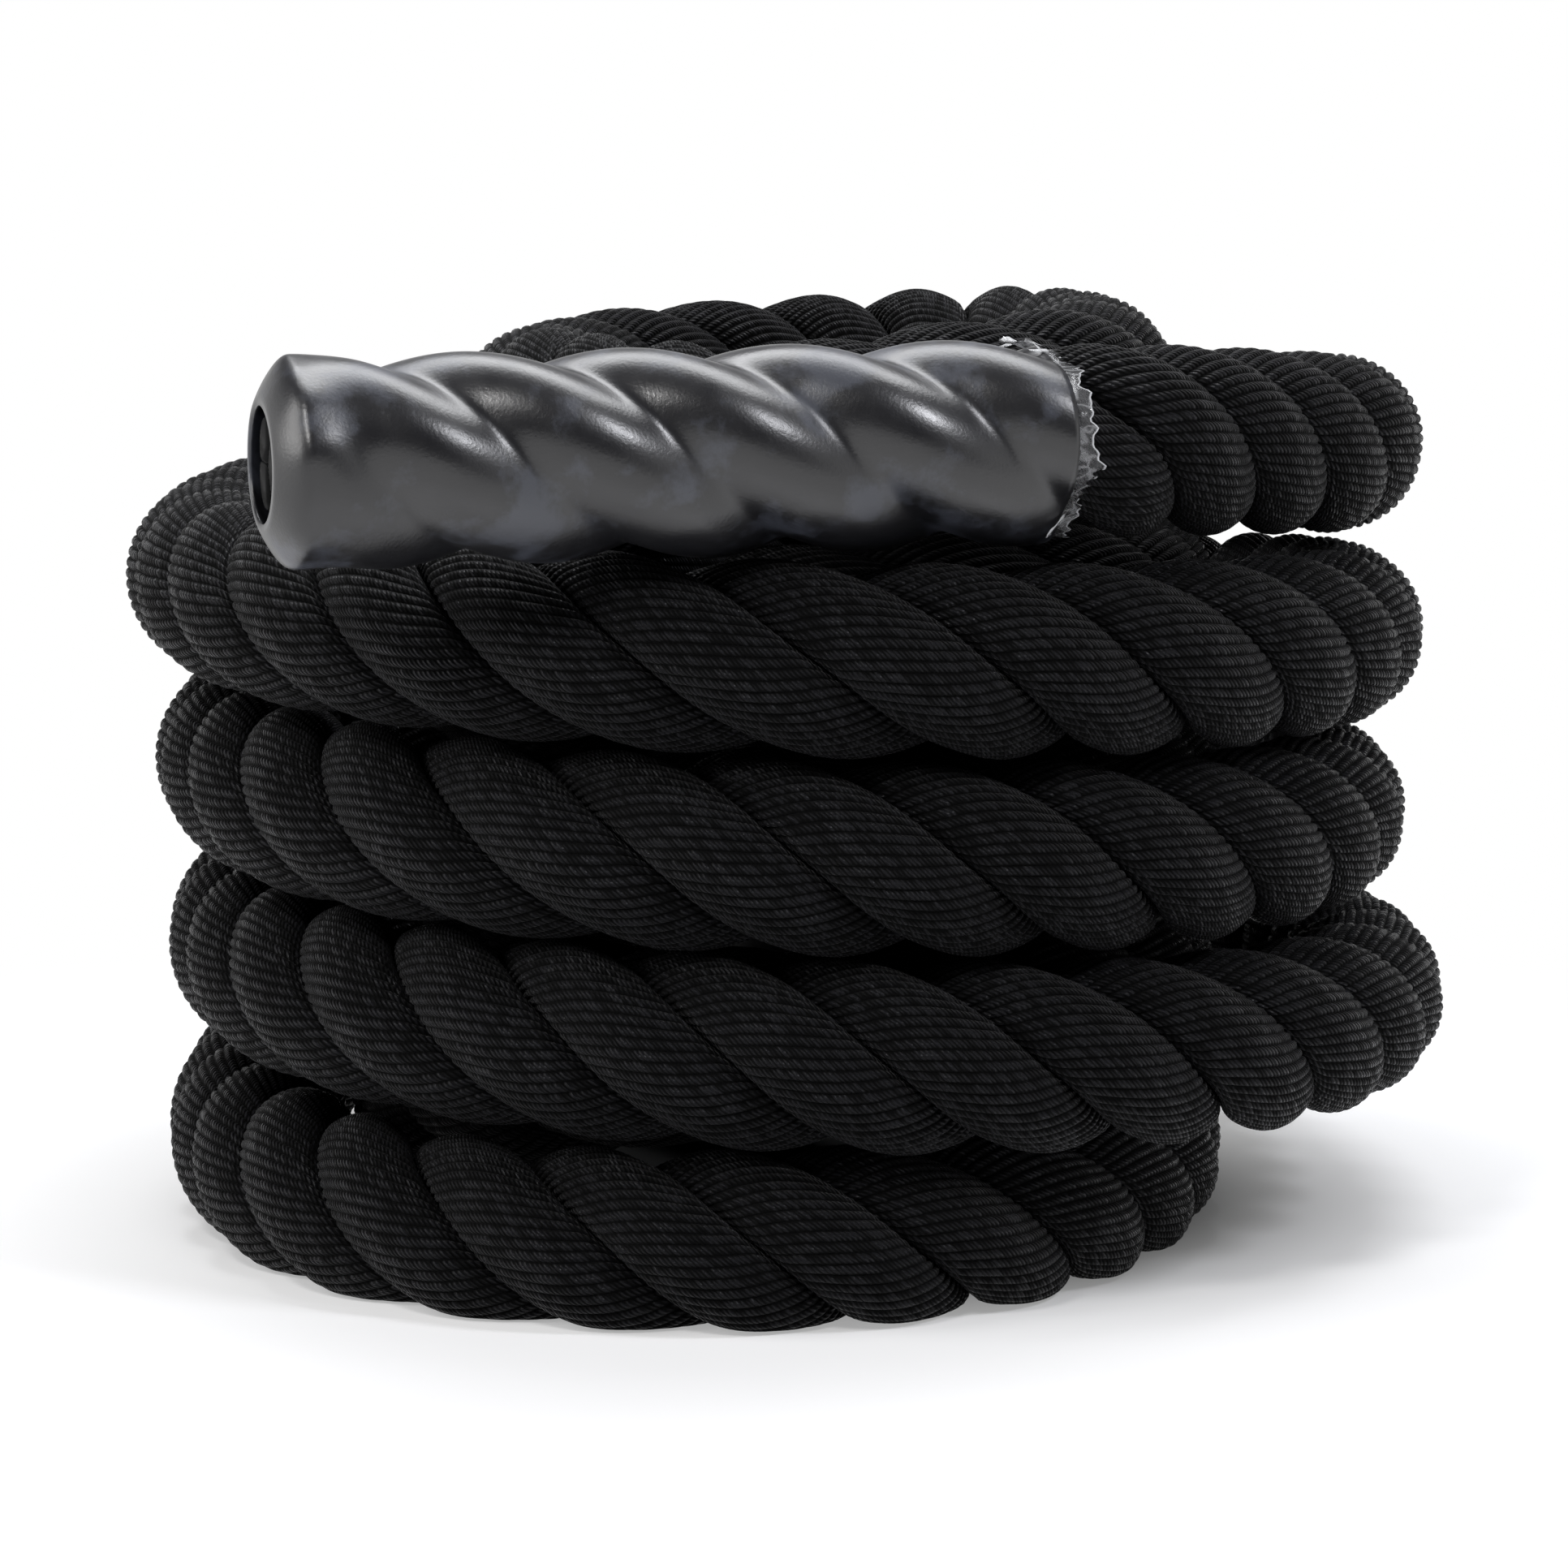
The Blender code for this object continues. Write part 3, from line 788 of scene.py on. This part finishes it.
def sleeve_radius(position, angle):
    """The sleeve's outside: three round lobes that turn along it, a ridge near its tip and a bevel."""
    crest = math.pi / 2 + 2 * math.pi * (position - CREST_AT_SHARE) / LAY_SHARE
    total = 0.0
    for lobe in range(LOBES):
        away = angle - crest - 2 * math.pi * lobe / LOBES
        arc = LOBE_AT_SHARE * np.cos(away)
        arc = arc + np.sqrt(LOBE_RADIUS_SHARE**2 - (LOBE_AT_SHARE * np.sin(away)) ** 2)
        total = total + arc ** LOBE_POWER
    lobed = total ** (1 / LOBE_POWER)
    beyond = position - CHAMFER_SHARE
    full = RIDGE_SHARE + (lobed - RIDGE_SHARE) * smooth_step(beyond / RIDGE_FADE_SHARE)
    crease = 0.0
    for waves, height, start, turn in CREASE_WAVES:
        crease = crease + height * np.sin(waves * angle + start + turn * position)
    full = full + CREASE_SHARE * crease * math.exp(-((beyond / CREASE_REACH_SHARE) ** 2))
    grow = math.sin(math.pi / 2 * min(1.0, position / CHAMFER_SHARE)) ** CHAMFER_CURVE
    return LIP_SHARE + (full - LIP_SHARE) * grow


def sleeve_ring(ends, position, radii, angles):
    """A ring of points round the axis, so far from the tip, in metres."""
    way, side, up = axis_frame(ends)
    around = side[None, :] * np.cos(angles)[:, None] + up[None, :] * np.sin(angles)[:, None]
    ring = ends[0] + way * position + around * radii[:, None]
    return ring * ROPE_DIAMETER + MOVED


def sleeve_grid(ends):
    """Rings along the outside from the tip, back along the inside, and out through the tip's hole."""
    length = np.linalg.norm(ends[1] - ends[0])
    angles = 2 * math.pi * np.arange(SLEEVE_COLUMNS) / SLEEVE_COLUMNS
    hole = np.full(SLEEVE_COLUMNS, HOLE_SHARE)
    rings = []
    for share in np.linspace(0.0, 1.0, SLEEVE_RINGS):
        position = length * share ** RING_CROWDING
        rings.append(sleeve_ring(ends, position, sleeve_radius(position, angles), angles))
    inner = sleeve_radius(length, angles) - SLEEVE_WALL_SHARE
    rings.append(sleeve_ring(ends, length, inner, angles))
    for share in np.linspace(1.0, 0.0, SLEEVE_RINGS // 2):
        position = CHAMFER_SHARE + (length - CHAMFER_SHARE - SLEEVE_WALL_SHARE) * share
        inner = sleeve_radius(position, angles) - SLEEVE_WALL_SHARE
        rings.append(sleeve_ring(ends, position, inner, angles))
    rings.append(sleeve_ring(ends, SLEEVE_WALL_SHARE, hole, angles))
    rings.append(sleeve_ring(ends, 0.0, hole, angles))
    return np.array(rings)


def mesh_of_ring_loft(name, grid, closed):
    """A smooth skin over rings of points, which comes back to its first ring where it is closed."""
    mesh = bpy.data.meshes.new(name)
    rings, columns = grid.shape[:2]
    shape = bmesh.new()
    verts = [[shape.verts.new(point) for point in ring] for ring in grid]
    for place in range(rings if closed else rings - 1):
        following = verts[(place + 1) % rings]
        ring = verts[place]
        for step in range(columns):
            after = (step + 1) % columns
            shape.faces.new((ring[step], ring[after], following[after], following[step]))
    for face in shape.faces:
        face.smooth = True
    shape.to_mesh(mesh)
    shape.free()
    return mesh


def make_sleeve(name, ends):
    mesh = mesh_of_ring_loft(name + "_grip", sleeve_grid(ends), True)
    mesh.materials.append(sleeve_material())
    sleeve = bpy.data.objects.new(name + "_grip", mesh)
    bpy.context.scene.collection.objects.link(sleeve)
    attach(sleeve, "root")
    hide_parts(name + "_sleeve")
    return sleeve


def tape_grid(ends):
    """Rings of the tape just inside the sleeve's wall, out to its torn edge."""
    length = np.linalg.norm(ends[1] - ends[0])
    angles = 2 * math.pi * np.arange(SLEEVE_COLUMNS) / SLEEVE_COLUMNS
    torn = 0.0
    for waves, height, start in TORN_WAVES:
        torn = torn + height * np.sin(waves * angles + start)
    rings = []
    for share in np.linspace(0.0, 1.0, TAPE_RINGS):
        position = length - TAPE_IN_SHARE + (TAPE_IN_SHARE + TAPE_OUT_SHARE + torn) * share
        ring = []
        for angle, place in zip(angles, position):
            around = np.array([angle])
            radius = sleeve_radius(min(place, length), around) - SLEEVE_WALL_SHARE - TAPE_GAP_SHARE
            ring.append(sleeve_ring(ends, place, radius, around)[0])
        rings.append(ring)
    return np.array(rings)


def make_tape(name, ends):
    mesh = mesh_of_ring_loft(name + "_film", tape_grid(ends), False)
    add_shreds(mesh, ends)
    mark_torn_edge(mesh)
    mesh.materials.append(film_material())
    film = bpy.data.objects.new(name + "_film", mesh)
    bpy.context.scene.collection.objects.link(film)
    thick = film.modifiers.new("thick", "SOLIDIFY")
    thick.thickness = TAPE_THICKNESS
    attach(film, "root")
    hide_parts(name + "_tape")
    return film


def add_shreds(mesh, ends):
    """Narrow torn strips of the tape that curl back over the sleeve's mouth."""
    length = np.linalg.norm(ends[1] - ends[0])
    shape = bmesh.new()
    shape.from_mesh(mesh)
    for angle, back, run, width, lift, curl in SHRED_SHARES:
        rows = []
        for share in np.linspace(0.0, 1.0, SHRED_STEPS + 1):
            position = length + SHRED_ROOT_SHARE - back * share
            middle = math.pi / 2 + angle + curl * share * share
            spread = width * (1.0 - SHRED_TAPER * share) / 2
            wave = SHRED_WAVE * math.sin(SHRED_WAVES * share + SHRED_SCATTER * angle)
            row = []
            for side in (-1, 1):
                around = np.array([middle + side * spread])
                surface = sleeve_radius(min(position, length), around)
                height = SHRED_LIFT_SHARE + lift * share * (1.0 + side * wave) + run * share * (1 - share)
                row.append(shape.verts.new(sleeve_ring(ends, position, surface + height, around)[0]))
            rows.append(row)
        for first, second in zip(rows, rows[1:]):
            shape.faces.new((first[0], first[1], second[1], second[0])).smooth = True
    shape.to_mesh(mesh)
    shape.free()


def mark_torn_edge(mesh):
    """Gives the mesh a value that is 1 at the tape's torn edge and along one side of each shred."""
    torn = np.arange(len(mesh.vertices)) // SLEEVE_COLUMNS / (TAPE_RINGS - 1)
    shreds = torn[TAPE_RINGS * SLEEVE_COLUMNS:]
    shreds[:] = 1.0
    shreds[1::2] = TORN_BAND[0]
    layer = mesh.attributes.new("torn", "FLOAT", "POINT")
    layer.data.foreach_set("value", torn.astype(np.float32))


# Materials
def new_material(name):
    made = bpy.data.materials.new(name)
    made.use_nodes = True
    return made, made.node_tree.nodes, made.node_tree.links, made.node_tree.nodes["Principled BSDF"]


def yarn_material():
    """Beads of leaning plies along each yarn, each bead a little brighter or darker than the next; the
    colour is painted shade in the grooves and between plies, and painted glints on the brightest bead
    crowns.
    """
    made, nodes, links, shader = new_material("black_yarn")
    set_values(shader, YARN_GLOSS)
    place = nodes.new("ShaderNodeUVMap")
    place.uv_map = "yarn"
    split = nodes.new("ShaderNodeSeparateXYZ")
    links.new(place.outputs["UV"], split.inputs["Vector"])
    across = math_node(nodes, links, "FRACT", split.outputs["X"])
    crown = math_node(nodes, links, "SINE", math_node(nodes, links, "MULTIPLY", across, math.pi))
    crown = math_node(nodes, links, "POWER", crown, YARN_CROWN_POWER)
    lines = math_node(nodes, links, "MULTIPLY", split.outputs["Y"], PLIES_PER_PITCH)
    lean = math_node(nodes, links, "MULTIPLY", across, PLY_LEAN)
    twist = math_node(nodes, links, "ADD", lines, lean)
    ply = math_node(nodes, links, "SINE", math_node(nodes, links, "MULTIPLY", twist, 2 * math.pi))
    ply = math_node(nodes, links, "MULTIPLY_ADD", ply, 0.5, 0.5)
    beads = math_node(nodes, links, "MULTIPLY_ADD", ply, PLY_DEPTH, 1.0 - PLY_DEPTH)
    height = math_node(nodes, links, "MULTIPLY", crown, beads)
    bump = bump_node(nodes, links, height, YARN_BUMP)
    links.new(bump.outputs["Normal"], shader.inputs["Normal"])
    bead = nodes.new("ShaderNodeCombineXYZ")
    from_middle = math_node(nodes, links, "ADD", twist, PLY_MIDDLE)
    links.new(math_node(nodes, links, "FLOOR", split.outputs["X"]), bead.inputs["X"])
    links.new(math_node(nodes, links, "FLOOR", from_middle), bead.inputs["Y"])
    chance = nodes.new("ShaderNodeTexWhiteNoise")
    chance.noise_dimensions = "2D"
    links.new(bead.outputs["Vector"], chance.inputs["Vector"])
    relief_and_chance = math_node(nodes, links, "MULTIPLY_ADD", chance.outputs["Value"], PLY_SPREAD, -PLY_SPREAD / 2)
    relief_and_chance = math_node(nodes, links, "ADD", height, relief_and_chance)
    rough = map_range(nodes, links, relief_and_chance, YARN_POLISH, YARN_ROUGHNESS)
    links.new(rough, shader.inputs["Roughness"])
    # Painted shade low in the relief and painted glints on the highest beads, shifted at random per bead
    links.new(colour_ramp(nodes, links, relief_and_chance, YARN_PAINTED_SHADE_GLINT_TONES), shader.inputs["Base Color"])
    return made


def sleeve_material():
    made, nodes, links, shader = new_material("black_sleeve")
    set_values(shader, SLEEVE_GLOSS)
    place = nodes.new("ShaderNodeTexCoord").outputs["Object"]
    grain = noise_node(nodes, links, place, GRAIN)
    bump = bump_node(nodes, links, grain.outputs["Fac"], GRAIN_BUMP)
    dents = noise_node(nodes, links, place, DENTS)
    dented = bump_node(nodes, links, dents.outputs["Fac"], DENTS_BUMP)
    links.new(bump.outputs["Normal"], dented.inputs["Normal"])
    links.new(dented.outputs["Normal"], shader.inputs["Normal"])
    scuffs = noise_node(nodes, links, place, SCUFFS).outputs["Fac"]
    links.new(map_range(nodes, links, scuffs, SCUFFED, SLEEVE_ROUGHNESS), shader.inputs["Roughness"])
    links.new(colour_ramp(nodes, links, scuffs, SCUFF_TONES), shader.inputs["Base Color"])
    return made


def film_material():
    made, nodes, links, shader = new_material("clear_film")
    set_values(shader, FILM_GLOSS)
    place = nodes.new("ShaderNodeTexCoord").outputs["Object"]
    wander = noise_node(nodes, links, place, WANDER)
    moved = nodes.new("ShaderNodeVectorMath")
    moved.operation = "MULTIPLY_ADD"
    moved.inputs[1].default_value = WANDER_REACH
    links.new(wander.outputs["Color"], moved.inputs[0])
    links.new(place, moved.inputs[2])
    wrinkles = nodes.new("ShaderNodeTexVoronoi")
    wrinkles.feature = "DISTANCE_TO_EDGE"
    set_values(wrinkles, WRINKLES)
    links.new(moved.outputs["Vector"], wrinkles.inputs["Vector"])
    distance = wrinkles.outputs["Distance"]
    bump = bump_node(nodes, links, distance, WRINKLE_BUMP)
    links.new(bump.outputs["Normal"], shader.inputs["Normal"])
    torn = nodes.new("ShaderNodeAttribute")
    torn.attribute_name = "torn"
    alpha_with_painted_glints = map_range(nodes, links, distance, WRINKLE_WIDTH, WRINKLE_DENSITY)
    edge = map_range(nodes, links, torn.outputs["Fac"], TORN_BAND, TORN_DENSITY)
    # Painted glints: patches where the film is more opaque, so its pale colour shows as white reflections
    painted_glints = map_range(nodes, links, wander.outputs["Fac"], PAINTED_GLINT_SPAN, PAINTED_GLINT_ALPHA)
    for other in (edge, painted_glints):
        alpha_with_painted_glints = math_node(nodes, links, "MAXIMUM", alpha_with_painted_glints, other)
    links.new(alpha_with_painted_glints, shader.inputs["Alpha"])
    return made


def main():
    make_camera()
    rope, line = make_rope()
    front, rear = sleeve_axes()
    for name, ends in (("front", front), ("rear", rear)):
        make_sleeve(name, ends)
        make_tape(name, ends)
    make_lights()
    make_world()
    make_floor()
    scene = bpy.context.scene
    scene.view_settings.view_transform = "Standard"


main()
